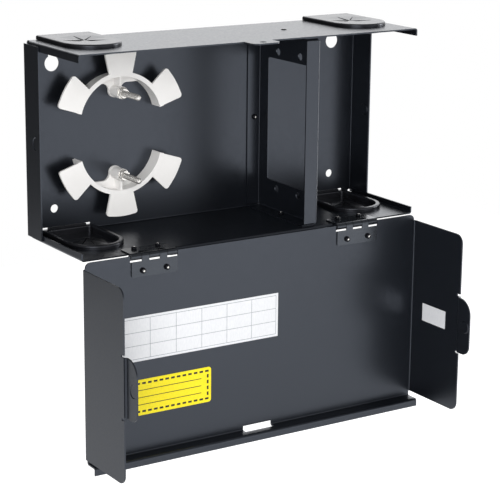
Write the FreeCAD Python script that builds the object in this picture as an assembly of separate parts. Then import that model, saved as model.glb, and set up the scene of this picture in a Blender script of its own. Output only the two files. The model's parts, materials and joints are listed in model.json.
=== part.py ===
import FreeCAD, Part
import math
import os

V = FreeCAD.Vector

# Driving dimensions, in millimetres
# The wall is the plane y = 0, +Z is up, and the origin is the middle of the back panel.
width = 325.0
height = 163.0
depth = 94.0
sheet = 1.2
bend = 1.0
side_depth = 27.0
edge_flange = 6.4
lap_gap = 0.3
front_flange = 5.0
flange_overlap = 3.0
corner_relief = 6.0
relief_d = 2.8
relief_inset = 3.0

# Wall fixings, measured in from the sides, the top and the bottom
wall_inset = 23.5
keyhole_inset = 20.3
keyhole_d = 13.0
keyhole_slot = 6.4
keyhole_rise = 12.0
wall_hole_inset = 21.7
wall_hole_d = 7.0

# Hasp tab and the catch dimples
tab_width = 26.4
tab_length = 15.0
tab_round = 5.0
tab_hole_d = 5.6
catch_inset = 7.2
catch_d = 11.0
catch_rise = 0.5

# Cable entry grommets
entry_right_inset = 31.0
entry_left_inset = 34.5
entry_y = 48.6
entry_hole = 44.4
entry_notch = 6.3
rim_overlap = 2.3
rim_out = 3.3
rim_in = 3.8
rim_width = 4.6
rim_bead = 3.0
rim_round = 1.5
rim_corner = 3.0
rim_recess = 1.0
membrane = 1.8
star_r = 18.5
star_dip = 3.4
slit = 0.8
slit_end = 4.0
tongue_half = 17.5
rubber_gap = 0.1

# Adapter bracket
bracket_inset = 99.1
bracket_flange = 13.9
bracket_setback = 1.7
window_y = 63.0
window_z = 108.0
window_round = 1.5
plate_pitch = 33.4
plate_span = 120.0
plate_hole_d = 6.4

# Fibre guides and their studs
guide_inset = 79.7
guide_gap = 9.7
guide_depth = 13.8
ring_inner = 38.2
ring_wall = 2.2
band = 3.8
petal_outer = 61.0
petal_half = 15.0
petal_neck = 11.2
petal_turn = 59.5
petal_thick = 2.0
petal_round = 2.5
web_thick = 2.5
web_arm = 6.5
web_round = 6.2
rib_thick = 1.8
stud_rise = 25.0
stud_d = 5.0
shank_d = 4.5
stud_tip = 45.0
stud_foot = 0.8
boss_r = 5.2
boss_top = 17.0
nut_across = 10.0
nut_height = 4.0
nut_flange = 0.9

# Hinges
hinge_inset = 62.5
hinge_width = 42.0
hinge_leaf = 1.0
leaf_length = 16.5
leaf_round = 2.0
knuckle_r = 2.9
pin_r = 1.4
pin_gap = 0.05
base_knuckle = 9.0
knuckle_gap = 0.4
notch_clear = 0.95
rivet_pitch = 22.0
rivet_offset = 11.4
rivet_r = 1.6
rivet_head_r = 2.7
rivet_head = 1.1

# Door, hanging open at rest; the gaps and ends are those of the closed door
door_gap = 0.4
door_clear = 1.2
door_top_rise = 1.0
door_round = 4.5
flap_root = 3.4
flap_end = 2.0
flap_gap = 3.1
flap_round = 8.0
shelf_gap = 1.9
shelf_depth = 12.1
lip_drop = 6.7
slot_clear = 1.0
slot_reach = 4.4
ear_margin = 0.6
ear_up = 24.2
ear_down = 24.8
ear_clear = 0.4
ear_round_up = 14.0
ear_round_down = 8.5
ear_relief = 2.0

# Labels on the door's inner face and on its right flap
label_thick = 0.2
label_inset = 33.6
record_width = 150.0
record_height = 37.8
record_drop = 45.2
notice_width = 84.1
notice_height = 30.5
notice_gap = 15.9
notice_round = 2.5
small_width = 31.7
small_height = 15.8
small_inset = 18.4
small_drop = 1.7

# Derived positions
hw = width / 2
hh = height / 2
round_out = bend + sheet
side_x = hw + lap_gap + sheet
wall_x = hw - wall_inset
keyhole_z = hh - keyhole_inset
wall_hole_z = -hh + wall_hole_inset
catch_y = -side_depth + catch_inset
entry_right = hw - entry_right_inset
entry_left = hw - entry_left_inset
bracket_x = hw - bracket_inset
bracket_front = depth - bracket_setback
guide_x = -hw + guide_inset
guide_z = hh - sheet - guide_gap - petal_outer
thread_foot = boss_top + nut_height + pin_gap
hinge_x = hw - hinge_inset
leaf_notch = knuckle_r + notch_clear
leaf_top = -hh + sheet + hinge_leaf
pin_z = leaf_top - knuckle_r
pin_y = -depth - door_clear - knuckle_r + hinge_leaf
door_in = 2 * pin_y + depth + door_clear
door_rear = door_in + sheet
door_x = hw + door_gap + sheet
flap_free = 2 * pin_y + side_depth + flap_gap
flap_high = 2 * pin_z + hh - flap_root
flap_low = 2 * pin_z - hh + flap_end
shelf_top = 2 * pin_z - hh - shelf_gap
ear_joggle = door_gap + sheet - lap_gap + catch_rise + ear_clear
ear_catch = 2 * pin_y - catch_y
ear_tip = ear_catch - catch_d / 2 - ear_margin
leaf_front = door_in - hinge_leaf


def point(plane, u, v, w):
    """Places a flat point (u, v) at the height w of a plane named by its two axes."""
    if plane == "XY":
        return V(u, v, w)
    if plane == "YZ":
        return V(w, u, v)
    return V(u, w, v)


def outline(points, radii, plane, w):
    """Face inside a closed polygon whose corners are rounded by the given radii."""
    count = len(points)
    starts = []
    ends = []
    mids = []
    for i in range(count):
        here = V(*points[i], 0)
        back = (V(*points[i - 1], 0) - here).normalize()
        ahead = (V(*points[(i + 1) % count], 0) - here).normalize()
        half = back.getAngle(ahead) / 2
        reach = radii[i] / math.tan(half)
        starts.append(here + back * reach)
        ends.append(here + ahead * reach)
        inward = (back + ahead).normalize() if radii[i] else V(0, 0, 0)
        mids.append(here + inward * (radii[i] / math.sin(half) - radii[i]))
    edges = []
    for i in range(count):
        a, m, b = [point(plane, p.x, p.y, w) for p in (starts[i], mids[i], ends[i])]
        if radii[i]:
            edges.append(Part.Arc(a, m, b).toShape())
        following = starts[(i + 1) % count]
        c = point(plane, following.x, following.y, w)
        if (c - b).Length > 1e-4:
            edges.append(Part.makeLine(b, c))
    return Part.Face(Part.Wire(edges))


def prism(points, radii, plane, start, stop):
    """Rounded polygon carried from one height of its plane to another."""
    if not isinstance(radii, list):
        radii = [radii] * len(points)
    face = outline(points, radii, plane, start)
    return face.extrude(point(plane, 0, 0, stop - start))


def rect(u0, u1, v0, v1):
    return [(u0, v0), (u1, v0), (u1, v1), (u0, v1)]


def box(x0, x1, y0, y1, z0, z1):
    return prism(rect(x0, x1, y0, y1), 0, "XY", z0, z1)


def strip(path, plane, start, stop):
    """Folded sheet: the path is one face, and the metal lies on its left."""
    dirs = [(V(*b, 0) - V(*a, 0)).normalize() for a, b in zip(path, path[1:])]
    normals = [V(-d.y, d.x, 0) for d in dirs]
    other = [V(*path[0], 0) + normals[0] * sheet]
    radii = [0]
    other_radii = [0]
    for i in range(1, len(path) - 1):
        before, after = normals[i - 1], normals[i]
        other.append(V(*path[i], 0) + (before + after) * (sheet / (1 + before.dot(after))))
        left_turn = dirs[i - 1].cross(dirs[i]).z > 0
        radii.append(round_out if left_turn else bend)
        other_radii.append(bend if left_turn else round_out)
    other.append(V(*path[-1], 0) + normals[-1] * sheet)
    points = path + [(p.x, p.y) for p in reversed(other)]
    return prism(points, radii + [0, 0] + other_radii[:0:-1] + [0], plane, start, stop)


def bar(x, y, z, radius, axis, length):
    """Round bar from a point along a unit axis."""
    return Part.makeCylinder(radius, length, V(x, y, z), V(*axis))


def dome(at, axis, radius, rise):
    """Shallow rounded head standing on a point along a unit axis."""
    ball_r = (radius ** 2 + rise ** 2) / (2 * rise)
    ball = Part.makeSphere(ball_r, at + axis * (rise - ball_r))
    return ball.common(Part.makeCylinder(radius + 1, rise, at, axis))


def cap(radius, base, rise):
    """Arc of a shallow rounded head in half section, from its rim to its crown."""
    ball_r = (radius ** 2 + rise ** 2) / (2 * abs(rise))
    half = math.asin(radius / ball_r) / 2
    mid = base + math.copysign(ball_r * math.cos(half) - ball_r + abs(rise), rise)
    return Part.Arc(V(radius, 0, base), V(ball_r * math.sin(half), 0, mid), V(0, 0, base + rise)).toShape()


def rivet(at, axis, grip, tail):
    """Rivet whose head stands on a point and whose shank runs back through the grip."""
    foot = -grip - (rivet_head * 0.7 if tail else 0)
    corners = [(0, foot), (rivet_r, -grip), (rivet_r, 0), (rivet_head_r, 0)]
    edges = [cap(rivet_head_r, 0, rivet_head)]
    edges.append(Part.makeLine(V(0, 0, rivet_head), V(0, 0, foot)))
    if tail:
        edges.append(cap(rivet_head_r, -grip, foot + grip))
        corners.insert(1, (rivet_head_r, -grip))
        corners.pop(0)
    for a, b in zip(corners, corners[1:]):
        edges.append(Part.makeLine(V(a[0], 0, a[1]), V(b[0], 0, b[1])))
    face = Part.Face(Part.Wire(Part.sortEdges(edges)[0]))
    solid = face.revolve(V(0, 0, 0), V(0, 0, 1), 360)
    solid.Placement = FreeCAD.Placement(at, FreeCAD.Rotation(V(0, 0, 1), axis))
    return solid


def rivet_hole(at, axis):
    """Clearance for one rivet shank, long enough for any stack of sheets."""
    return Part.makeCylinder(rivet_r + pin_gap, 8 * sheet, at - axis * 4 * sheet, axis)


def joined(shapes):
    """One clean solid from touching or overlapping pieces."""
    return shapes[0].multiFuse(shapes[1:]).removeSplitter()


def mirror_x(shape):
    return shape.mirror(V(0, 0, 0), V(1, 0, 0))


def mirror_z(shape):
    return shape.mirror(V(0, 0, 0), V(0, 0, 1))


# Rivet places, shared by the holes and the rivets: point under the head, axis, grip, tail
bracket_mid = -(sheet + bracket_front) / 2
flange_mid = bracket_x - bracket_flange / 2
bracket_places = [
    (V(flange_mid, -2 * sheet, 0), V(0, -1, 0), 2 * sheet, False),
    (V(flange_mid, bracket_mid, -hh + 2 * sheet), V(0, 0, 1), 2 * sheet, True),
    (V(flange_mid, bracket_mid, hh), V(0, 0, 1), 2 * sheet, True),
]
base_places = []
door_places = []
for side in (-1, 1):
    for along in (-1, 1):
        x = side * hinge_x + along * rivet_pitch / 2
        base_places.append((V(x, pin_y + rivet_offset, leaf_top), V(0, 0, 1), sheet + hinge_leaf, True))
        door_places.append((V(x, leaf_front, pin_z - rivet_offset), V(0, -1, 0), sheet + hinge_leaf, True))


def dimple(x, y, z, inward, sign):
    """Pressed dimple as the metal to add on the inner face and the hollow to cut outside."""
    top = catch_d / 2 - catch_rise
    bump = Part.makeCone(catch_d / 2, top, catch_rise, V(x + inward, y, z), V(sign, 0, 0))
    hollow = Part.makeCone(catch_d / 2, top, catch_rise, V(x, y, z), V(sign, 0, 0))
    return bump, hollow


def entry_outline(x, half):
    """Cable entry in plan: straight sides to the wall and a round front."""
    return rect(x - half, x + half, -entry_y - half, 0), [half, half, 0, 0]


def base_shell():
    """Back, top and bottom folded from one sheet, with turned edges and short side flanges."""
    inner = hw - round_out
    overlap = corner_relief * 2
    pieces = [strip([(-depth, -hh), (0, -hh), (0, hh), (-depth, hh)], "YZ", -inner, inner)]
    flat = hh - round_out
    flank = strip([(side_x, -side_depth), (side_x, 0), (hw - overlap, 0)], "XY", -flat, flat)
    edge = strip([(hw, hh - edge_flange), (hw, hh), (hw - overlap, hh)], "XZ", -depth, -corner_relief)
    trim = joined([flank, edge, mirror_z(edge)])
    pieces += [trim, mirror_x(trim)]
    tab = prism(rect(-tab_width / 2, tab_width / 2, -depth - tab_length, -depth + sheet),
                [tab_round, tab_round, 0, 0], "XY", hh - sheet, hh)
    shell = joined(pieces + [tab])
    # Front edge of the bottom sheet, turned down between the hinges and a little way behind them
    lip_half = hinge_x - hinge_width / 2 + flange_overlap
    setback = 2 * round_out
    ends = rect(-lip_half, lip_half, -depth - 1, -depth + setback)
    shell = shell.cut(prism(ends, 0, "XY", -hh - 1, -hh + sheet + 1))
    lip = strip([(-depth + sheet, -hh - front_flange), (-depth + sheet, -hh), (-depth + 2 * setback, -hh)],
                "YZ", -lip_half, lip_half)
    shell = shell.fuse(lip)
    cuts = [bar(0, -depth - tab_length / 2, hh - 2 * sheet, tab_hole_d / 2, (0, 0, 1), 3 * sheet)]
    bumps = []
    for side in (-1, 1):
        half = hinge_width / 2 + slot_clear
        near, far = sorted((side * lip_half, side * (hinge_x + half)))
        cuts.append(box(near, far, -depth - 1, pin_y + leaf_notch, -hh - 1, -hh + sheet))
        cuts.append(bar(side * wall_x, sheet, wall_hole_z, wall_hole_d / 2, (0, -1, 0), 3 * sheet))
        cuts.append(bar(side * wall_x, sheet, keyhole_z, keyhole_d / 2, (0, -1, 0), 3 * sheet))
        for edge_z in (-hh + relief_inset, hh - relief_inset):
            cuts.append(bar(side * (hw - relief_d / 4), sheet, edge_z, relief_d / 2, (0, -1, 0), 4 * sheet))
        slot = keyhole_slot / 2
        cuts.append(prism(rect(side * wall_x - slot, side * wall_x + slot, keyhole_z,
                               keyhole_z + keyhole_rise), [0, 0, slot, slot], "XZ", sheet, -2 * sheet))
        bump, hollow = dimple(side * side_x, catch_y, 0, -side * sheet, -side)
        bumps.append(bump)
        cuts.append(hollow)
        points, radii = entry_outline(entry_right if side > 0 else entry_left, entry_hole / 2)
        points = [(u, v if v < 0 else sheet) for u, v in points]
        entry = prism(points, radii, "XY", hh - entry_notch, hh + 1)
        entry = entry if side > 0 else mirror_x(entry)
        cuts += [entry, mirror_z(entry)]
    for at, axis, grip, tail in bracket_places + base_places:
        cuts.append(rivet_hole(at, axis))
    return joined([shell] + bumps).cut(cuts[0].multiFuse(cuts[1:])).removeSplitter()


def grommet(x):
    """Rubber cable entry at the right of the top sheet, with a slit star in its membrane."""
    hole = entry_hole / 2 - rubber_gap
    outer = entry_hole / 2 + rim_overlap
    clear = outer - rim_width
    under = hh - sheet - rubber_gap
    over = hh + rubber_gap
    top = hh + rim_out
    low = under - rim_in
    wall = sheet + rubber_gap

    def slab(half, back, corner, start, stop):
        points, radii = entry_outline(x, half)
        points = [(u, v if v < 0 else -back) for u, v in points]
        return prism(points, radii[:2] + [corner, corner], "XY", start, stop)

    def rounded(solid, level, half, radius):
        """Rounds the edges of one level that lie within a half width and clear of the wall."""
        edges = []
        for edge in solid.Edges:
            span = edge.BoundBox
            flat = span.ZLength < 1e-6 and abs(span.ZMin - level) < 1e-6
            if flat and max(x - span.XMin, span.XMax - x) < half + 1e-3 and span.YMin < -2 * wall:
                edges.append(edge)
        return solid.makeFillet(radius, edges)

    body = joined([slab(outer, wall / 2, 0, over, top), slab(hole, wall, 0, under, over),
                   slab(outer, wall, 0, low, under)])
    body = rounded(rounded(body, top, outer, rim_round), low, outer, rim_round)
    skin = top - rim_recess - membrane
    bead = outer - rim_bead
    body = body.cut(slab(clear, wall + rim_width, rim_corner, low - 1, skin))
    body = body.cut(slab(bead, wall + rim_bead, rim_corner, skin + membrane, top + 1))
    body = rounded(rounded(body, top, bead, rim_recess / 2), low, clear, rim_round)
    # Star of eight shallow facets that dips inwards, and the slits that let it open around a cable
    mid_y = -(entry_y + clear + wall + rim_width) / 2

    def facets(level):
        rings = []
        for radius, z in ((star_r, level), (slit, level - star_dip)):
            ring = [V(x + radius * math.cos(k * math.pi / 4), mid_y + radius * math.sin(k * math.pi / 4), z)
                    for k in range(9)]
            rings.append(Part.makePolygon(ring))
        return Part.makeLoft(rings, True, True)

    body = body.fuse(facets(skin)).cut(facets(skin + membrane))
    reach = clear - slit_end
    slits = []
    for k in range(4):
        blade = Part.makeBox(2 * reach, slit, star_dip + 3 * membrane, V(-reach, -slit / 2, 0))
        blade.rotate(V(0, 0, 0), V(0, 0, 1), 45 * k)
        blade.translate(V(x, mid_y, skin - star_dip - membrane))
        slits.append(blade)
    body = body.cut(slits[0].multiFuse(slits[1:]))
    # Tongue that stands in the cut-out of the back panel
    tongue = box(x - tongue_half, x + tongue_half, -2 * wall, -wall / 3, hh - entry_notch + rubber_gap,
                 under)
    return body.fuse(tongue).removeSplitter()


def adapter_bracket():
    """Pan-shaped divider with a window and four fixings for adapter plates."""
    left = bracket_x - bracket_flange
    tall = hh - sheet
    relief = round_out + sheet / 2
    pan = joined([
        strip([(left, -bracket_front), (bracket_x, -bracket_front), (bracket_x, -sheet), (left, -sheet)],
              "XY", -tall + relief, tall - relief),
        strip([(left, -tall), (bracket_x, -tall), (bracket_x, tall), (left, tall)],
              "XZ", -bracket_front + relief, -sheet - relief),
    ])
    cuts = [prism(rect(bracket_mid - window_y / 2, bracket_mid + window_y / 2, -window_z / 2, window_z / 2),
                  window_round, "YZ", bracket_x - 2 * sheet, bracket_x + sheet)]
    for y in (-1, 1):
        for z in (-1, 1):
            cuts.append(bar(bracket_x - 2 * sheet, bracket_mid + y * plate_pitch / 2, z * plate_span / 2,
                            plate_hole_d / 2, (1, 0, 0), 3 * sheet))
    for at, axis, grip, tail in bracket_places:
        cuts.append(rivet_hole(at, axis))
    return pan.cut(cuts[0].multiFuse(cuts[1:])).removeSplitter()


def sector(r0, r1, half_angle, y0, y1):
    """Part of a ring about the guide's centre, symmetric about straight up."""
    def spot(r, angle):
        return V(r * math.sin(angle), y0, r * math.cos(angle))

    a = math.radians(half_angle)
    edges = [Part.Arc(spot(r1, -a), spot(r1, 0), spot(r1, a)).toShape(),
             Part.makeLine(spot(r1, a), spot(r0, a)),
             Part.Arc(spot(r0, a), spot(r0, 0), spot(r0, -a)).toShape(),
             Part.makeLine(spot(r0, -a), spot(r1, -a))]
    return Part.Face(Part.Wire(edges)).extrude(V(0, y1 - y0, 0))


def fibre_guide():
    """Upper guide: half-ring wall with three petals, a web and a boss on the stud."""
    front = -sheet - guide_depth
    ring = ring_inner + ring_wall
    end = petal_turn + math.degrees(math.asin(petal_neck / (ring_inner + band)))
    pieces = [sector(ring_inner, ring, end, -sheet, front),
              sector(ring_inner, ring_inner + band, end, front + petal_thick, front)]
    bulge = math.sqrt(petal_outer ** 2 - petal_half ** 2)
    root = ring - ring_wall / 4
    root_half = petal_neck * root / (ring_inner + band)
    shape = [(-root_half, root), (root_half, root), (petal_half, bulge), (0, petal_outer),
             (-petal_half, bulge)]
    for turn in (-petal_turn, 0, petal_turn):
        petal = prism(shape, [0, 0, petal_round, petal_outer, petal_round], "XZ",
                      front, front + petal_thick)
        petal.rotate(V(0, 0, 0), V(0, 1, 0), turn)
        pieces.append(petal)
    half = boss_r + 0.3
    tip = stud_rise - half
    arm = stud_rise + web_arm
    tip_round = half * 0.98
    web = prism([(-ring, arm), (-half, arm), (-half, tip), (half, tip), (half, arm), (ring, arm),
                 (ring, ring), (-ring, ring)],
                [0, web_round, tip_round, tip_round, web_round, 0, 0, 0], "XZ", -sheet - web_thick, -sheet)
    seat = ring_inner + ring_wall / 2
    pieces.append(web.common(bar(0, 0, 0, seat, (0, -1, 0), guide_depth)))
    rib = prism(rect(-rib_thick / 2, rib_thick / 2, stud_rise, seat), 0, "XZ",
                front + petal_thick / 2, -sheet)
    pieces += [rib, bar(0, -sheet, stud_rise, boss_r, (0, -1, 0), boss_top - sheet)]
    guide = joined(pieces)
    guide = guide.cut(bar(0, 0, stud_rise, stud_d / 2 + 2 * pin_gap, (0, -1, 0), 2 * boss_top))
    guide = guide.cut(bar(0, 0, stud_rise, stud_d / 2 + stud_foot + lap_gap, (0, -1, 0),
                          sheet + stud_foot + lap_gap))
    guide.translate(V(guide_x, 0, guide_z))
    return guide.removeSplitter()


def stud():
    """Upper weld stud: a foot flange, a shank of the pitch diameter and a thread above the nut."""
    z = guide_z + stud_rise
    thread = bar(guide_x, -thread_foot, z, stud_d / 2, (0, -1, 0), stud_tip - thread_foot)
    end = [e for e in thread.Edges if abs(e.BoundBox.YMax + stud_tip) < 1e-6]
    shank = bar(guide_x, -sheet, z, shank_d / 2, (0, -1, 0), thread_foot - sheet)
    foot = bar(guide_x, -sheet, z, stud_d / 2 + stud_foot, (0, -1, 0), stud_foot)
    return joined([thread.makeChamfer(stud_d / 8, end), shank, foot])


def nut():
    """Upper flanged hexagon nut on the boss."""
    z = guide_z + stud_rise
    corner = nut_across / math.sqrt(3)
    ring = [(corner * math.cos(math.radians(60 * k + 15)), corner * math.sin(math.radians(60 * k + 15)))
            for k in range(6)]
    hexagon = prism(ring, 0, "XZ", -boss_top - nut_height, -boss_top)
    shaped = hexagon.common(dome(V(0, -boss_top, 0), V(0, -1, 0), corner * 1.35, nut_height))
    body = joined([shaped, bar(0, -boss_top, 0, corner, (0, -1, 0), nut_flange)])
    body = body.cut(bar(0, 0, 0, shank_d / 2 + pin_gap, (0, -1, 0), 2 * boss_top))
    body.translate(V(guide_x, 0, z))
    return body


def knuckles():
    """Spans along X of the base leaf's three knuckles and the door leaf's two."""
    door_knuckle = (hinge_width - 3 * base_knuckle - 4 * knuckle_gap) / 2
    spans = []
    x = hinge_x - hinge_width / 2
    for k in range(5):
        length = door_knuckle if k % 2 else base_knuckle
        spans.append((x, x + length))
        x += length + knuckle_gap
    return spans[0::2], spans[1::2]


def hinge_leaf_base():
    """Right hinge: leaf on the bottom sheet, with three knuckles around the pin."""
    low = -hh + sheet
    rear = pin_y + leaf_length
    pieces = [prism(rect(hinge_x - hinge_width / 2, hinge_x + hinge_width / 2, pin_y + leaf_notch, rear),
                    [0, 0, leaf_round, leaf_round], "XY", low, leaf_top)]
    for x0, x1 in knuckles()[0]:
        pieces.append(box(x0, x1, pin_y, pin_y + leaf_notch + hinge_leaf, low, leaf_top))
        pieces.append(bar(x0, pin_y, pin_z, knuckle_r, (1, 0, 0), x1 - x0))
    leaf = joined(pieces).cut(pin_bore())
    for at, axis, grip, tail in base_places:
        leaf = leaf.cut(rivet_hole(at, axis))
    return leaf


def hinge_leaf_door():
    """Right hinge: leaf on the door's inner face, with two knuckles around the pin."""
    low = pin_z - leaf_length
    notch = pin_z - leaf_notch
    pieces = [prism(rect(hinge_x - hinge_width / 2, hinge_x + hinge_width / 2, low, notch),
                    [leaf_round, leaf_round, 0, 0], "XZ", leaf_front, door_in)]
    for x0, x1 in knuckles()[1]:
        pieces.append(box(x0, x1, leaf_front, door_in, notch - hinge_leaf, pin_z))
        pieces.append(bar(x0, pin_y, pin_z, knuckle_r, (1, 0, 0), x1 - x0))
    leaf = joined(pieces).cut(pin_bore())
    for at, axis, grip, tail in door_places:
        leaf = leaf.cut(rivet_hole(at, axis))
    return leaf


def pin_bore():
    return bar(hinge_x - hinge_width, pin_y, pin_z, pin_r + pin_gap, (1, 0, 0), 2 * hinge_width)


def hinge_pin():
    """Right hinge pin, a little longer than the knuckles, with chamfered ends."""
    length = hinge_width + 2 * knuckle_gap
    pin = bar(hinge_x - length / 2, pin_y, pin_z, pin_r, (1, 0, 0), length)
    return pin.makeChamfer(pin_r / 5, [e for e in pin.Edges if e.BoundBox.XLength < 1e-6])


def door_panel():
    """Door folded from one sheet: side flaps with catch ears, and a grip lip along the free edge."""
    tray = strip([(door_x, flap_free), (door_x, door_rear), (-door_x, door_rear), (-door_x, flap_free)],
                 "XY", flap_low, flap_high)
    side = rect(flap_free, door_rear + 1, flap_low, flap_high)
    tray = tray.common(prism(side, [flap_round, 0, 0, flap_round], "YZ", -door_x - 1, door_x + 1))
    flat = door_x - round_out
    top = pin_z + door_top_rise
    head = prism(rect(-flat, flat, flap_high - flap_round, top), [0, 0, door_round, door_round],
                 "XZ", door_in, door_rear)
    lip_front = door_in - shelf_depth
    under = shelf_top - sheet
    lip = strip([(lip_front + sheet, under - lip_drop + sheet), (lip_front + sheet, under),
                 (door_rear, under), (door_rear, flap_low + flap_round)], "YZ", -flat, flat)
    ear = ear_with_dimple()
    door = joined([tray, head, lip, ear[0], mirror_x(ear[0])])
    cuts = [ear[1], mirror_x(ear[1])]
    slot = tab_width / 2 + slot_clear
    cuts.append(box(-slot, slot, door_in - slot_reach, door_rear + 1, under - 1,
                    2 * pin_z - hh + sheet + 2 * lap_gap))
    for side in (-1, 1):
        half = hinge_width / 2 + slot_clear
        cuts.append(box(side * hinge_x - half, side * hinge_x + half, door_in - 1, door_rear + 1,
                        pin_z - leaf_notch - lap_gap, top + 1))
    for at, axis, grip, tail in door_places:
        cuts.append(rivet_hole(at, axis))
    # Relief notches beside each ear
    for foot in (pin_z * 2 + ear_up, pin_z * 2 - ear_down - ear_relief):
        cuts.append(box(-door_x - 1, door_x + 1, flap_free - 1, flap_free + 2 * ear_relief,
                        foot, foot + ear_relief))
    return door.cut(cuts[0].multiFuse(cuts[1:])).removeSplitter()


def ear_with_dimple():
    """Right catch ear, joggled inwards so that it closes inside the side flange."""
    mid = 2 * pin_z
    step = flap_free + bend
    root = flap_free + flap_round
    path = [(door_x - ear_joggle, ear_tip), (door_x - ear_joggle, step - ear_joggle), (door_x, step),
            (door_x, root)]
    blank = strip(path, "XY", mid - ear_down, mid + ear_up)
    shape = rect(ear_tip, root, mid - ear_down, mid + ear_up)
    blank = blank.common(prism(shape, [ear_round_down, 0, 0, ear_round_up], "YZ",
                               door_x - 2 * ear_joggle - sheet, door_x + 1))
    bump, hollow = dimple(door_x - ear_joggle, ear_catch, mid, -sheet, -1)
    return blank.fuse(bump), hollow


def labels():
    """Thin stickers: a record grid and a notice on the panel, and a small one on the right flap."""
    face = door_in - label_thick
    left = -door_x + label_inset
    high = flap_high - record_drop
    low = high - record_height
    record = prism(rect(left, left + record_width, low, high), 0, "XZ", face, door_in)
    high = low - notice_gap
    low = high - notice_height
    notice = prism(rect(left, left + notice_width, low, high), notice_round, "XZ", face, door_in)
    inner = door_x - sheet
    front = flap_free + small_inset
    mid = 2 * pin_z - small_drop
    small = prism(rect(front, front + small_width, mid - small_height / 2, mid + small_height / 2), 0,
                  "YZ", inner - label_thick, inner)
    return {"record_label": record, "notice_label": notice, "flap_label": small}


def rivets(places):
    return Part.makeCompound([rivet(*place) for place in places])


guide = fibre_guide()
guide_stud = stud()
guide_nut = nut()
right_grommet = grommet(entry_right)
left_grommet = mirror_x(grommet(entry_left))
leaf_base = hinge_leaf_base()
leaf_door = hinge_leaf_door()
pin = hinge_pin()

parts = {
    "base_shell": base_shell(),
    "adapter_bracket": adapter_bracket(),
    "bracket_rivets": rivets(bracket_places),
    "top_right_grommet": right_grommet,
    "top_left_grommet": left_grommet,
    "bottom_right_grommet": mirror_z(right_grommet),
    "bottom_left_grommet": mirror_z(left_grommet),
    "upper_fibre_guide": guide,
    "lower_fibre_guide": mirror_z(guide),
    "upper_stud": guide_stud,
    "lower_stud": mirror_z(guide_stud),
    "upper_nut": guide_nut,
    "lower_nut": mirror_z(guide_nut),
    "right_hinge_base_leaf": leaf_base,
    "left_hinge_base_leaf": mirror_x(leaf_base),
    "right_hinge_pin": pin,
    "left_hinge_pin": mirror_x(pin),
    "hinge_base_rivets": rivets(base_places),
    "door_panel": door_panel(),
    "right_hinge_door_leaf": leaf_door,
    "left_hinge_door_leaf": mirror_x(leaf_door),
    "hinge_door_rivets": rivets(door_places),
}
parts.update(labels())

os.makedirs("parts", exist_ok=True)
for name, shape in parts.items():
    shape.exportStep("parts/" + name + ".step")
    print(name, len(shape.Solids), shape.isValid(), round(shape.Volume, 1))
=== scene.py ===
import json
import math

import bmesh
import bpy
from mathutils import Matrix, Vector


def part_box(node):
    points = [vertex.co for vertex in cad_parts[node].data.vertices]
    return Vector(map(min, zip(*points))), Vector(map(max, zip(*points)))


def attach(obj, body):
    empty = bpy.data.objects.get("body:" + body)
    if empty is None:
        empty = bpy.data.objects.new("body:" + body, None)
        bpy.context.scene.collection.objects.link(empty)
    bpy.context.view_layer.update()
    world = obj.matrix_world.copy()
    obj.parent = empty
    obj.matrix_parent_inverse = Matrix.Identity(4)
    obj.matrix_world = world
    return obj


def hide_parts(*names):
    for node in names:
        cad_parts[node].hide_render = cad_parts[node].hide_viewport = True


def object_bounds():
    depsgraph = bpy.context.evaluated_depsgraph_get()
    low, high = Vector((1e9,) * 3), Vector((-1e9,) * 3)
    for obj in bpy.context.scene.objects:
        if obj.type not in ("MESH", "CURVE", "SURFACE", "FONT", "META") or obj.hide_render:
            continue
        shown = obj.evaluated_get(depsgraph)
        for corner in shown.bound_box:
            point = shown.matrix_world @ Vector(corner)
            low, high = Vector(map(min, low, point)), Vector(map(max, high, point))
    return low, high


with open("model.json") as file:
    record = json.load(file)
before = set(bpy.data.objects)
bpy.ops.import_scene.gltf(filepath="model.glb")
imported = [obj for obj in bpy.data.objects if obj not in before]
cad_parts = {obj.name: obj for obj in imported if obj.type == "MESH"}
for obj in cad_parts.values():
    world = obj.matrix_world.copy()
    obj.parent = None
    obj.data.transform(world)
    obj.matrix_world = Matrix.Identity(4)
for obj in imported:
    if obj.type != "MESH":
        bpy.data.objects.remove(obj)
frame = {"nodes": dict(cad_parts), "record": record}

CAD_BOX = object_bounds()
MM = 0.001
UP = Vector((0, 0, 1))
FRONT = Vector((0, -1, 0))

# Threads of the two studs: the thread's flanks rise with a slope and are cut off at root and crest
THREAD_PITCH = 0.8 * MM
THREAD_DEPTH = 0.32 * MM
THREAD_SIDES = 28
THREAD_RINGS = 6
FLANK_SLOPE = 2.4
FLANK_SHIFT = 0.7
THREAD_FOOT = 0.8 * MM
SHANK_SHARE = 0.9
TIP_SHARE = 0.82

# Nuts on the studs: the flange as shares of the corners' radius, the face as shares of the flats'
NUT_ACROSS = 8.2 * MM
NUT_SIDES = 48
NUT_TURN = math.radians(15)
HEXAGON_STEP = math.pi / 3
FLANGE_HIGH = 0.8 * MM
FLANGE_BEVEL = 0.2 * MM
FLANGE_SHARE = 1.06
FLANGE_TOP_SHARE = 1.01
FLANGE_SEAM = 0.01 * MM
NUT_CHAMFER = 0.6 * MM
SHOULDER_SHARE = 1.06
FACE_SHARE = 0.94

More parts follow.
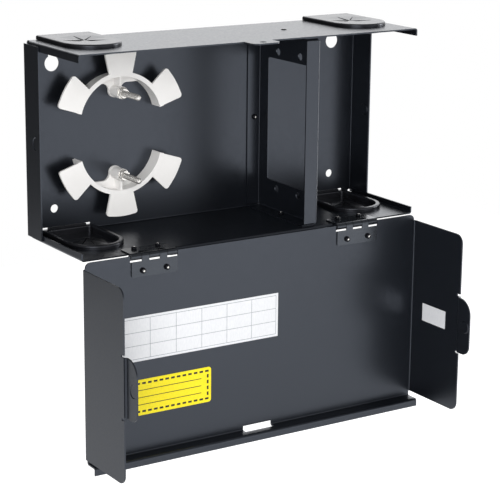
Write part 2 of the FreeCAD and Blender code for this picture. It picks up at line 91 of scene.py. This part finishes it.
# Blind rivets: the outer head, the set end and the mandrel as radius and height, ring by ring, in mm
SHEET = 1.2 * MM
RIVET_PITCH = 22.0 * MM
RIVET_HEAD = 1.1 * MM
RIVET_TAIL = 0.77 * MM
RIVET_HEAD_RADIUS = 2.7 * MM
RIVET_SIDES = 28
OUTER_HEAD = ((0.9, -0.77), (1.5, -0.70), (2.1, -0.48), (2.5, -0.22), (2.7, -0.03), (2.7, 0.0),
              (1.6, 0.0))
SET_END = ((1.6, 0.0), (2.15, 0.0), (2.15, 0.03), (2.35, 0.40), (2.40, 0.90), (2.28, 1.40),
           (1.98, 1.85), (1.50, 2.15), (1.05, 2.25))
MANDREL = ((0.95, 2.00), (0.95, 2.35), (0.75, 2.47), (0.30, 2.51))

# Outer faces of the grommets: a flush skin in the rim, folded in to a shallow star of eight flaps
RIM_BEAD = 3.0 * MM
RIM_BACK = 1.4 * MM
RIM_CORNER = 3.0 * MM
SKIN_LAP = 0.30 * MM
SKIN_PLAY = 0.05 * MM
SKIN_THICK = 0.75 * MM
LAP_DEPTH = 0.02 * MM
SEAT_DEPTH = 0.45 * MM
BACK_DEPTH = 0.95 * MM
STAR_RADIUS = 20.5 * MM
STAR_DIP = 1.9 * MM
FLAP_FOLDS = (1.0, 0.55)
FLAPS = 8
FLAP_STEPS = 9
SLIT_WIDE = 0.5 * MM
SLIT_DEEP = 0.45 * MM
SLIT_RINGS = (1.2 * MM, 6.0 * MM, 12.0 * MM, 16.5 * MM, 18.5 * MM)
RAY_REACH = 4
RAY_HALVINGS = 40

# Print on the labels, measured in from each label's own edges
INK = 0.02 * MM
RULE = 0.42 * MM
GRID_COLUMNS = 6
GRID_ROWS = 3
GRID_MARGIN = 2.1 * MM
NOTE_MARGIN = 2.4 * MM
DASH = 3.4 * MM
DASH_GAP = 2.0 * MM
DASH_WIDE = 1.7 * MM
NOTE_LINES = 3
NOTE_FIRST = 0.8
NOTE_SPARE = 0.6
NOTE_INSET = 7.0 * MM
NOTE_RULE = 0.6 * MM

# Floor, in metres; a glow is two places and the levels there
FLOOR_DROP = 0.34
FLOOR_HALF = 1.65
FLOOR_FRONT = 2.5
FLOOR_TONE = 0.8
FLOOR_ROUGHNESS = 0.9
FLOOR_SEEN = 0.6
BACK_GLOW = (0.0, 0.6, 0.0, 0.12)
FRONT_GLOW = (0.0, 0.7, 0.9, 0.0)
FRONT_PLACE = -1.65

# Room: a panel is a direction, and the cosines and levels between which it fades in
AMBIENT = 0.58
SHADED_SIDE = (Vector((-0.6, 0.8, 0.0)), (0.3, 0.9, 0.25, 0.05))
PANELS = ((Vector((0.40, -0.86, -0.30)), (0.84, 0.97, 0.0, 0.6)),
          (Vector((0.6, 0.75, 0.3)), (0.62, 0.92, 0.0, 1.08)))

# Lamps: name, place, width, height, watts and whether gloss mirrors it
KEY_PLACE = Vector((-1.4, -2.0, 0.65))
LAMPS = (("key", KEY_PLACE, 1.6, 1.35, 13, True),
         ("soft_key", KEY_PLACE, 1.6, 1.35, 30, False),
         ("fill", Vector((0.8, -1.5, -0.1)), 1.2, 0.8, 2.0, True),
         ("rear", Vector((1.1, 1.7, 0.8)), 2.2, 1.2, 6.0, True),
         ("edge", Vector((1.6, -0.3, 0.1)), 0.35, 1.3, 9, True))

# Camera, fitted to the photograph as one square picture
LENS_MM = 126.92
SENSOR_MM = 36.0
EYE = Vector((-0.77399, -1.28303, 0.27702))
YAW = 0.5736
PITCH = 0.2551
ROLL = 0.0099


def map_range(nodes, links, value, span, interpolation="LINEAR"):
    """Carries a value from the first two numbers of a span to its last two."""
    node = nodes.new("ShaderNodeMapRange")
    node.interpolation_type = interpolation
    for name, number in zip(("From Min", "From Max", "To Min", "To Max"), span):
        node.inputs[name].default_value = number
    links.new(value, node.inputs["Value"])
    return node.outputs["Result"]


def math_node(nodes, links, operation, first, second):
    """One sum of a socket with a second one or with a number."""
    node = nodes.new("ShaderNodeMath")
    node.operation = operation
    links.new(first, node.inputs[0])
    if isinstance(second, float):
        node.inputs[1].default_value = second
    else:
        links.new(second, node.inputs[1])
    return node.outputs["Value"]


class Shader:
    """One material with its node tree, and short calls for the nodes it needs."""

    def __init__(self, name):
        self.material = bpy.data.materials.new(name)
        self.material.use_nodes = True
        self.nodes = self.material.node_tree.nodes
        self.links = self.material.node_tree.links
        self.bsdf = self.nodes["Principled BSDF"]
        self.place = self.nodes.new("ShaderNodeTexCoord").outputs["Object"]

    def link(self, source, target):
        self.links.new(source, target)

    def noise(self, scale, detail=2.0, stretch=(1, 1, 1)):
        """Noise in the frame's own metres, so that scale is the grain's count to the metre."""
        mapping = self.nodes.new("ShaderNodeMapping")
        mapping.inputs["Scale"].default_value = stretch
        self.link(self.place, mapping.inputs["Vector"])
        node = self.nodes.new("ShaderNodeTexNoise")
        node.inputs["Scale"].default_value = scale
        node.inputs["Detail"].default_value = detail
        self.link(mapping.outputs["Vector"], node.inputs["Vector"])
        return node.outputs["Fac"]

    def spread(self, value, low, high, start=0.3, stop=0.7):
        """Carries a noise from start..stop to low..high."""
        return map_range(self.nodes, self.links, value, (start, stop, low, high))

    def blend(self, factor, first, second):
        """Mixes two colours, each a tuple or a socket."""
        node = self.nodes.new("ShaderNodeMix")
        node.data_type = "RGBA"
        self.link(factor, node.inputs["Factor"])
        for name, colour in (("A", first), ("B", second)):
            socket = [s for s in node.inputs if s.name == name and s.type == "RGBA"][0]
            if isinstance(colour, tuple):
                socket.default_value = (*colour, 1)
            else:
                self.link(colour, socket)
        return [s for s in node.outputs if s.type == "RGBA"][0]

    def bump(self, height, depth, strength, under=None):
        """Normal of a bumpy surface, over another normal if there is one."""
        node = self.nodes.new("ShaderNodeBump")
        node.inputs["Distance"].default_value = depth
        node.inputs["Strength"].default_value = strength
        self.link(height, node.inputs["Height"])
        if under is not None:
            self.link(under, node.inputs["Normal"])
        return node.outputs["Normal"]

    def finish(self, colour, roughness, normal, **settings):
        """Links what varies, and sets what is the same all over on the shader's own sockets."""
        self.link(colour, self.bsdf.inputs["Base Color"])
        self.link(roughness, self.bsdf.inputs["Roughness"])
        self.link(normal, self.bsdf.inputs["Normal"])
        for name, value in settings.items():
            socket = name.replace("_", " ").title().replace("Ior", "IOR")
            self.bsdf.inputs[socket].default_value = value
        return self.material


def powder_coat(name, dark, light, speck, smooth, rough):
    """Satin powder coat: fine orange peel, a faint cloudiness and pale specks in the film."""
    s = Shader(name)
    cloud = s.spread(s.noise(scale=14, detail=3), low=0, high=1)
    specks = s.spread(s.noise(scale=2600, detail=1), low=0, high=0.3, start=0.62, stop=0.78)
    colour = s.blend(specks, s.blend(cloud, dark, light), speck)
    roughness = s.spread(s.noise(scale=420, detail=3), smooth, rough)
    peel = s.bump(s.noise(scale=950, detail=2), depth=0.05 * MM, strength=0.07)
    grain = s.bump(s.noise(scale=3200, detail=1), depth=0.02 * MM, strength=0.03, under=peel)
    return s.finish(colour, roughness, grain,
                    specular_ior_level=1.0, specular_tint=(0.76, 0.84, 1.0, 1))


def black_steel(name, dark, light, smooth, rough, gloss):
    """Stamped steel with a thin black finish and faint rolling lines along the hinge."""
    s = Shader(name)
    lines = s.noise(scale=900, detail=2, stretch=(0.06, 1, 1))
    colour = s.blend(s.spread(s.noise(scale=160, detail=3), low=0, high=1), dark, light)
    roughness = s.spread(lines, smooth, rough)
    rolled = s.bump(lines, depth=0.02 * MM, strength=0.03)
    grain = s.bump(s.noise(scale=1800, detail=2), depth=0.03 * MM, strength=0.05, under=rolled)
    return s.finish(colour, roughness, grain,
                    specular_ior_level=gloss, specular_tint=(0.78, 0.86, 1.0, 1))


def rubber():
    """Moulded rubber: satin, with a fine eroded grain and a trace of bloom."""
    s = Shader("rubber")
    bloom = s.spread(s.noise(scale=60, detail=4), low=0, high=0.6, start=0.4, stop=0.75)
    colour = s.blend(bloom, (0.003, 0.003, 0.0036), (0.008, 0.008, 0.009))
    roughness = s.spread(s.noise(scale=700, detail=3), low=0.285, high=0.325)
    grain = s.bump(s.noise(scale=1500, detail=3), depth=0.05 * MM, strength=0.10)
    return s.finish(colour, roughness, grain,
                    specular_ior_level=1.0, specular_tint=(0.84, 0.88, 1.0, 1))


def moulded_plastic():
    """Off-white moulded nylon with faint flow clouds and a fine tool texture."""
    s = Shader("guide_plastic")
    clouds = s.spread(s.noise(scale=35, detail=4), low=0, high=1)
    colour = s.blend(clouds, (0.85, 0.835, 0.82), (0.90, 0.89, 0.875))
    roughness = s.spread(s.noise(scale=500, detail=2), low=0.36, high=0.46)
    return s.finish(colour, roughness,
                    s.bump(s.noise(scale=1600, detail=2), depth=0.03 * MM, strength=0.15))


def zinc_steel():
    """Bright zinc plate with turning marks round the stud and a pale, uneven oxide film."""
    s = Shader("zinc_steel")
    film = s.spread(s.noise(scale=240, detail=4), low=0, high=1)
    colour = s.blend(film, (0.76, 0.74, 0.71), (0.90, 0.88, 0.85))
    roughness = s.spread(s.noise(scale=600, detail=3), low=0.16, high=0.265)
    marks = s.noise(scale=2400, detail=1, stretch=(0.2, 1, 0.2))
    return s.finish(colour, roughness, s.bump(marks, depth=0.02 * MM, strength=0.15),
                    metallic=0.78)


def label_film(name, pale, deep, smooth):
    """Printed film: even colour with paper fibre under it and a soft calendered gloss."""
    s = Shader(name)
    fibre = s.noise(scale=900, detail=4, stretch=(1, 1, 0.35))
    colour = s.blend(s.spread(fibre, low=0, high=1), deep, pale)
    roughness = s.spread(s.noise(scale=400, detail=2), low=smooth, high=smooth + 0.12)
    return s.finish(colour, roughness, s.bump(fibre, depth=0.02 * MM, strength=0.12))


MATERIALS = {
    "coat": powder_coat("coat", dark=(0.0024, 0.0028, 0.0038), light=(0.0038, 0.0044, 0.0058),
                        speck=(0.00836, 0.00968, 0.01276), smooth=0.29, rough=0.35),
    "hinge": black_steel("hinge_steel", dark=(0.006, 0.0065, 0.0078), light=(0.010, 0.011, 0.0125),
                         smooth=0.17, rough=0.23, gloss=0.9),
    "rivet": black_steel("rivet_steel", dark=(0.002, 0.002, 0.003), light=(0.004, 0.004, 0.005),
                         smooth=0.16, rough=0.24, gloss=0.25),
    "rubber": rubber(),
    "guide": moulded_plastic(),
    "steel": zinc_steel(),
    "white_label": label_film("white_film", (0.83, 0.84, 0.86), (0.77, 0.78, 0.81), smooth=0.38),
    "yellow_label": label_film("yellow_film", (0.98, 0.83, 0.004), (0.93, 0.77, 0.003), smooth=0.34),
}
GREY_INK = label_film("grey_ink", (0.36, 0.38, 0.42), (0.28, 0.30, 0.33), smooth=0.45)
BLACK_INK = label_film("black_ink", (0.018, 0.017, 0.012), (0.012, 0.011, 0.009), smooth=0.40)


def dress_nodes():
    """Gives each CAD node the material of its slot."""
    for subpart in frame["record"]["subparts"]:
        node = frame["nodes"][subpart["node"]]
        node.data.materials.clear()
        node.data.materials.append(MATERIALS[subpart["material_slot"]])


def mesh_piece(name, bm, material, body, smooth=False):
    """Turns a bmesh into an object that rides on a body and takes the finish it is given."""
    bmesh.ops.recalc_face_normals(bm, faces=bm.faces)
    mesh = bpy.data.meshes.new(name)
    bm.to_mesh(mesh)
    bm.free()
    for face in mesh.polygons:
        face.use_smooth = smooth
    mesh.materials.append(material)
    piece = bpy.data.objects.new(name, mesh)
    bpy.context.scene.collection.objects.link(piece)
    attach(piece, body)
    return piece


def walls(bm, loops):
    """Faces between each loop of vertices and the next."""
    for first, second in zip(loops, loops[1:]):
        for k in range(len(first)):
            n = (k + 1) % len(first)
            bm.faces.new((first[k], first[n], second[n], second[k]))


def closed_walls(bm, loops):
    """Walls between the loops, and a face over each end."""
    walls(bm, loops)
    bm.faces.new(loops[0])
    bm.faces.new(loops[-1])


def ring(bm, centre, radii, y):
    """Ring of vertices in a plane across Y, with one radius for each side."""
    spots = []
    for k, r in enumerate(radii):
        turn = 2 * math.pi * k / len(radii)
        spots.append(bm.verts.new((centre.x + r * math.cos(turn), y, centre.z + r * math.sin(turn))))
    return spots


def stud_radii(node):
    """Radii of a plain stud's foot and of its shank's outside, where the thread's crests are."""
    low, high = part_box(node)
    foot = (high.x - low.x) / 2
    return foot, foot - THREAD_FOOT


def threaded_stud(which):
    """Stud with its helical thread, standing for the plain one and as long as it is."""
    node = which + "_stud"
    low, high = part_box(node)
    nut_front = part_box(which + "_nut")[0].y
    centre = (low + high) / 2
    foot, crest = stud_radii(node)
    foot_front = high.y - THREAD_FOOT
    shank = crest * SHANK_SHARE
    root = crest - THREAD_DEPTH
    tip = root * TIP_SHARE
    bm = bmesh.new()
    rings = []
    for radius, y in ((foot, high.y), (foot, foot_front), (shank, foot_front), (shank, nut_front)):
        rings.append(ring(bm, centre, [radius] * THREAD_SIDES, y))
    # The phase along Y and round the axis makes the helix
    step = THREAD_PITCH / THREAD_RINGS
    for i in range(1, int((nut_front - low.y) / step) + 1):
        y = nut_front - i * step
        chamfer = tip + (y - low.y)
        radii = []
        for k in range(THREAD_SIDES):
            phase = (i / THREAD_RINGS + k / THREAD_SIDES) % 1.0
            wave = min(1.0, max(0.0, FLANK_SLOPE * abs(2 * phase - 1) - FLANK_SHIFT))
            radii.append(min(root + THREAD_DEPTH * wave, chamfer))
        rings.append(ring(bm, centre, radii, y))
    rings.append(ring(bm, centre, [tip] * THREAD_SIDES, low.y))
    closed_walls(bm, rings)
    piece = mesh_piece(which + "_threaded_stud", bm, MATERIALS["steel"], "base", smooth=True)
    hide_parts(node)


def flanged_nut(which):
    """Hexagon nut with chamfered corners on a round flange, standing for the plain one."""
    node = which + "_nut"
    low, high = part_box(node)
    centre = (low + high) / 2
    bore = stud_radii(which + "_stud")[1]
    flat = NUT_ACROSS / 2
    corner = flat / math.cos(HEXAGON_STEP / 2)
    hexagon = []
    for k in range(NUT_SIDES):
        turn = (2 * math.pi * k / NUT_SIDES - NUT_TURN) % HEXAGON_STEP - HEXAGON_STEP / 2
        hexagon.append(flat / math.cos(turn))
    shoulder = [min(r, flat * SHOULDER_SHARE) for r in hexagon]
    foot = high.y - FLANGE_HIGH
    bm = bmesh.new()

    def circle(radius):
        return [radius] * NUT_SIDES

    rings = [ring(bm, centre, radii, y) for radii, y in (
        (circle(bore), high.y),
        (circle(corner * FLANGE_SHARE), high.y),
        (circle(corner * FLANGE_SHARE), foot + FLANGE_BEVEL),
        (circle(corner * FLANGE_TOP_SHARE), foot),
        (hexagon, foot - FLANGE_SEAM),
        (hexagon, low.y + NUT_CHAMFER),
        (shoulder, low.y + NUT_CHAMFER / 2),
        (circle(flat * FACE_SHARE), low.y),
        (circle(bore), low.y))]
    walls(bm, rings + rings[:1])
    piece = mesh_piece(which + "_flanged_nut", bm, MATERIALS["steel"], "base")
    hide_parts(node)


def turned(bm, seat, axis, profile):
    """Closed body turned round an axis through the seat, from radii and heights in mm."""
    side = axis.orthogonal().normalized()
    other = axis.cross(side)
    turns = [2 * math.pi * k / RIVET_SIDES for k in range(RIVET_SIDES)]
    outward = [side * math.cos(t) + other * math.sin(t) for t in turns]
    closed_walls(bm, [[bm.verts.new(seat + axis * (rise * MM) + spoke * (radius * MM)) for spoke in outward]
                      for radius, rise in profile])


def blind_rivets(name, body, places):
    """A node's rivets, set ends up their axes, each with the broken end of its mandrel.

    A place is the point under the set end, the axis, the grip, and whether an outer head stands
    behind it."""
    ends, mandrels = bmesh.new(), bmesh.new()
    for seat, axis, grip, headed in places:
        head = OUTER_HEAD if headed else OUTER_HEAD[-1:]
        turned(ends, seat, axis, [(r, h - grip / MM) for r, h in head] + list(SET_END))
        turned(mandrels, seat, axis, MANDREL)
    piece = mesh_piece(name + "_rivet_ends", ends, MATERIALS["rivet"], body, smooth=True)
    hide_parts(name + "_rivets")
    mesh_piece(name + "_mandrels", mandrels, MATERIALS["steel"], body, smooth=True)


def hinge_places(body, axis):
    """Four places in a row along X, two on each hinge."""
    low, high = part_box("hinge_" + body + "_rivets")
    span = abs((high - low).dot(axis))
    row = (low + high) / 2 + axis * (span / 2 - RIVET_HEAD)
    places = []
    for leaf in ("left_hinge_base_leaf", "right_hinge_base_leaf"):
        leaf_low, leaf_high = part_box(leaf)
        for along in (-1, 1):
            x = (leaf_low.x + leaf_high.x + along * RIVET_PITCH) / 2
            places.append((Vector((x, row.y, row.z)), axis, span - RIVET_HEAD - RIVET_TAIL, True))
    return places


def bracket_places():
    """One place on each of the bracket's rear, bottom and top flanges, inside the box."""
    low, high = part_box("bracket_rivets")
    grip = 2 * SHEET
    x = (low.x + high.x) / 2
    y = low.y + RIVET_HEAD_RADIUS
    level = high.z - RIVET_HEAD - grip
    return [(Vector((x, -grip, 0)), FRONT, grip, False),
            (Vector((x, y, -level)), UP, grip, True),
            (Vector((x, y, level)), -UP, grip, True)]


def flap_ring(radius):
    """Points round the star at one radius: for each flap its slit, then its straight edge."""
    rays = []
    for k in range(FLAPS):
        turn = 2 * math.pi * k / FLAPS
        along = Vector((math.cos(turn), math.sin(turn)))
        rays.append((along * radius, Vector((-along.y, along.x)) * (SLIT_WIDE / 2)))
    points = []
    for k in range(FLAPS):
        spot, side = rays[k]
        last, last_side = rays[(k + 1) % FLAPS]
        points.append(spot)
        for j in range(FLAP_STEPS + 2):
            points.append((spot + side).lerp(last - last_side, j / (FLAP_STEPS + 1)))
    return points


def rim_ring(points, centre, half, round_y, back):
    """Where the rays from the star's centre through its points meet the inside of the rim."""
    def inside(u, v):
        if v < round_y:
            return u * u + (v - round_y) ** 2 < half * half
        corner = (abs(u) - (half - RIM_CORNER), v - (back - RIM_CORNER))
        if min(corner) > 0:
            return corner[0] ** 2 + corner[1] ** 2 < RIM_CORNER ** 2
        return abs(u) < half and v < back

    ring_points = []
    for point in points:
        ray = point.normalized()
        near, far = 0.0, RAY_REACH * half
        for _ in range(RAY_HALVINGS):
            reach = (near + far) / 2
            if inside(ray.x * reach, centre + ray.y * reach):
                near = reach
            else:
                far = reach
        ring_points.append(ray * near)
    return ring_points


def grommet_skin(node, up):
    """Outer face of one grommet, which closes the rim's recess; up is 1 on top and -1 below."""
    low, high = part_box(node)
    middle_x = (low.x + high.x) / 2
    outer = (high.x - low.x) / 2
    round_y = low.y + outer
    centre = (low.y - RIM_BACK) / 2
    face = high.z if up > 0 else low.z
    bm = bmesh.new()

    def lay(points, depths):
        return [bm.verts.new((middle_x + p.x, centre + p.y, face - up * d))
                for p, d in zip(points, depths)]

    def level(points, depth):
        return lay(points, [depth] * len(points))

    def rim(inset):
        half = outer - RIM_BEAD - inset
        return rim_ring(star, centre, half, round_y, -(RIM_BACK + RIM_BEAD + inset))

    star = flap_ring(STAR_RADIUS)
    middle = flap_ring(SLIT_RINGS[0])
    period = len(star) // FLAPS
    loops = [level(middle, STAR_DIP + SLIT_DEEP)]
    for radius in SLIT_RINGS:
        fold = STAR_DIP * (1 - radius / STAR_RADIUS)
        slit = SLIT_DEEP if radius < SLIT_RINGS[-1] else 0.0
        points = flap_ring(radius)
        depths = []
        for k in range(len(points)):
            share = FLAP_FOLDS[k // period % 2]
            depths.append(fold + slit if k % period == 0 else fold * share)
        loops.append(lay(points, depths))
    lapped, seated = rim(-SKIN_LAP), rim(SKIN_PLAY)
    loops.append(level(star, 0.0))
    loops.append(level([(a + b) / 2 for a, b in zip(star, lapped)], 0.0))
    loops.append(level(lapped, LAP_DEPTH))
    loops.append(level(seated, SEAT_DEPTH))
    loops.append(level(seated, BACK_DEPTH))
    loops.append(level(star, BACK_DEPTH))
    loops.append(level(middle, STAR_DIP + SLIT_DEEP + SKIN_THICK))
    closed_walls(bm, loops)
    mesh_piece(node + "_skin", bm, MATERIALS["rubber"], "base")


def slab(bm, x0, x1, z0, z1, front, back):
    """Thin field of ink on a face that looks along -Y."""
    corners = ((x0, z0), (x1, z0), (x1, z1), (x0, z1))
    closed_walls(bm, [[bm.verts.new((x, y, z)) for x, z in corners] for y in (front, back)])


def print_field(label, margin):
    """Left, right, bottom and top of the print on a label, and the ink's front and back."""
    low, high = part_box(label)
    return low.x + margin, high.x - margin, low.z + margin, high.z - margin, low.y - INK, low.y


def record_rules():
    """Grid of thin rules for the cable record: bars across, and columns cut between the bars."""
    x0, x1, z0, z1, front, back = print_field("record_label", GRID_MARGIN)
    half = RULE / 2
    bm = bmesh.new()
    levels = [z0 + (z1 - z0) * k / GRID_ROWS for k in range(GRID_ROWS + 1)]
    for z in levels:
        slab(bm, x0, x1, z - half, z + half, front, back)
    for k in range(GRID_COLUMNS + 1):
        x = x0 + (x1 - x0) * k / GRID_COLUMNS
        for a, b in zip(levels, levels[1:]):
            slab(bm, x - half, x + half, a + half, b - half, front, back)
    mesh_piece("record_rules", bm, GREY_INK, "door")


def dashes(start, stop):
    """Ends of the dashes that fill a stretch evenly."""
    count = round((stop - start + DASH_GAP) / (DASH + DASH_GAP))
    pitch = (stop - start + DASH_GAP) / count
    return [(start + k * pitch, start + k * pitch + pitch - DASH_GAP) for k in range(count)]


def note_print():
    """Blank note panel: a dashed frame round three ruled writing lines."""
    x0, x1, z0, z1, front, back = print_field("notice_label", NOTE_MARGIN)
    half = NOTE_RULE / 2
    bm = bmesh.new()
    for a, b in dashes(x0, x1):
        slab(bm, a, b, z0, z0 + DASH_WIDE, front, back)
        slab(bm, a, b, z1 - DASH_WIDE, z1, front, back)
    for a, b in dashes(z0 + DASH_WIDE + DASH_GAP, z1 - DASH_WIDE - DASH_GAP):
        slab(bm, x0, x0 + DASH_WIDE, a, b, front, back)
        slab(bm, x1 - DASH_WIDE, x1, a, b, front, back)
    room = z1 - z0 - 2 * DASH_WIDE
    for k in range(NOTE_LINES):
        z = z0 + DASH_WIDE + room * (k + NOTE_FIRST) / (NOTE_LINES + NOTE_SPARE)
        slab(bm, x0 + NOTE_INSET, x1 - NOTE_INSET, z - half, z + half, front, back)
    mesh_piece("note_print", bm, BLACK_INK, "door")


def by_ray(nodes, links, lit, mirrored, seen):
    """Strength that depends on whether a surface is lit by it, mirrors it or the camera sees it."""
    path = nodes.new("ShaderNodeLightPath")
    level = lit
    for ray, strength in (("Is Glossy Ray", mirrored), ("Is Camera Ray", seen)):
        pick = nodes.new("ShaderNodeMix")
        links.new(path.outputs[ray], pick.inputs["Factor"])
        for socket, value in ((pick.inputs["A"], level), (pick.inputs["B"], strength)):
            if isinstance(value, float):
                socket.default_value = value
            else:
                links.new(value, socket)
        level = pick.outputs["Result"]
    return level


def floor_material():
    """Pale floor, lit by the lamps and topped up to white where the camera sees it."""
    material = bpy.data.materials.new("floor")
    material.use_nodes = True
    nodes, links = material.node_tree.nodes, material.node_tree.links
    bsdf = nodes["Principled BSDF"]
    bsdf.inputs["Roughness"].default_value = FLOOR_ROUGHNESS
    bsdf.inputs["Specular IOR Level"].default_value = 0.0
    bsdf.inputs["Emission Color"].default_value = (1, 1, 1, 1)
    bsdf.inputs["Base Color"].default_value = (FLOOR_TONE, FLOOR_TONE, FLOOR_TONE, 1)
    place = nodes.new("ShaderNodeSeparateXYZ")
    links.new(nodes.new("ShaderNodeTexCoord").outputs["Object"], place.inputs["Vector"])
    # Mirrored, the floor is brighter in a band across the front and a little in the back
    away = math_node(nodes, links, "SUBTRACT", place.outputs["Y"], FRONT_PLACE)
    reach = math_node(nodes, links, "MAXIMUM", away, math_node(nodes, links, "MULTIPLY", away, -1.0))
    front = map_range(nodes, links, reach, FRONT_GLOW, "SMOOTHSTEP")
    back = map_range(nodes, links, place.outputs["Y"], BACK_GLOW, "SMOOTHSTEP")
    mirrored = math_node(nodes, links, "ADD", front, back)
    links.new(by_ray(nodes, links, 0.0, mirrored, FLOOR_SEEN), bsdf.inputs["Emission Strength"])
    material.cycles.emission_sampling = "NONE"
    # Only the top of the floor is solid, so the part can be looked at from below
    clear = nodes.new("ShaderNodeMixShader")
    links.new(nodes.new("ShaderNodeNewGeometry").outputs["Backfacing"], clear.inputs["Fac"])
    links.new(bsdf.outputs["BSDF"], clear.inputs[1])
    links.new(nodes.new("ShaderNodeBsdfTransparent").outputs["BSDF"], clear.inputs[2])
    links.new(clear.outputs["Shader"], nodes["Material Output"].inputs["Surface"])
    return material


def white_stage():
    """Level floor under the part."""
    level = CAD_BOX[0].z - FLOOR_DROP
    h, f = FLOOR_HALF, FLOOR_FRONT
    mesh = bpy.data.meshes.new("floor")
    mesh.from_pydata([(-h, -f, level), (h, -f, level), (h, h, level), (-h, h, level)], [],
                     [(0, 1, 2, 3)])
    mesh.materials.append(floor_material())
    floor = bpy.data.objects.new("floor", mesh)
    bpy.context.scene.collection.objects.link(floor)


def studio_world():
    """White to the camera, a soft grey as light, and in reflections two panels in a dim room."""
    world = bpy.data.worlds.new("studio")
    world.use_nodes = True
    bpy.context.scene.world = world
    nodes, links = world.node_tree.nodes, world.node_tree.links
    background = nodes["Background"]
    background.inputs["Color"].default_value = (1, 1, 1, 1)
    place = nodes.new("ShaderNodeTexCoord").outputs["Generated"]

    def panel(aim, span):
        toward = nodes.new("ShaderNodeVectorMath")
        toward.operation = "DOT_PRODUCT"
        toward.inputs[1].default_value = aim.normalized()
        links.new(place, toward.inputs[0])
        return map_range(nodes, links, toward.outputs["Value"], span, "SMOOTHSTEP")

    mirrored = panel(*SHADED_SIDE)
    for aim, span in PANELS:
        mirrored = math_node(nodes, links, "MAXIMUM", mirrored, panel(aim, span))
    links.new(by_ray(nodes, links, AMBIENT, mirrored, 1.0), background.inputs["Strength"])


def studio_lamps():
    """Soft boxes, each turned to look at the part's middle and none seen by the camera."""
    middle = (CAD_BOX[0] + CAD_BOX[1]) / 2
    for name, place, wide, tall, watts, mirrored in LAMPS:
        light = bpy.data.lights.new(name, "AREA")
        light.shape = "RECTANGLE"
        light.size = wide
        light.size_y = tall
        light.energy = watts
        holder = bpy.data.objects.new(name, light)
        holder.location = place
        holder.rotation_euler = (middle - place).to_track_quat("-Z", "Y").to_euler()
        holder.visible_camera = False
        holder.visible_glossy = mirrored
        bpy.context.scene.collection.objects.link(holder)


def camera():
    """Camera at the photograph's place, from its yaw, pitch and roll."""
    right = Vector((math.cos(YAW), -math.sin(YAW), 0))
    ahead = Vector((math.sin(YAW), math.cos(YAW), 0))
    look = ahead * math.cos(PITCH) - UP * math.sin(PITCH)
    rise = UP * math.cos(PITCH) + ahead * math.sin(PITCH)
    x = right * math.cos(ROLL) + rise * math.sin(ROLL)
    y = rise * math.cos(ROLL) - right * math.sin(ROLL)
    data = bpy.data.cameras.new("camera")
    data.lens = LENS_MM
    data.sensor_width = SENSOR_MM
    holder = bpy.data.objects.new("camera", data)
    holder.matrix_world = Matrix.Translation(EYE) @ Matrix((x, y, -look)).transposed().to_4x4()
    bpy.context.scene.collection.objects.link(holder)
    bpy.context.scene.camera = holder


dress_nodes()
for which in ("upper", "lower"):
    threaded_stud(which)
    flanged_nut(which)
blind_rivets("hinge_base", "base", hinge_places("base", UP))
blind_rivets("hinge_door", "door", hinge_places("door", FRONT))
blind_rivets("bracket", "base", bracket_places())
for grommet in ("top_right_grommet", "top_left_grommet"):
    grommet_skin(grommet, 1)
for grommet in ("bottom_right_grommet", "bottom_left_grommet"):
    grommet_skin(grommet, -1)
record_rules()
note_print()
white_stage()
studio_world()
studio_lamps()
camera()
bpy.context.scene.view_settings.view_transform = "Standard"
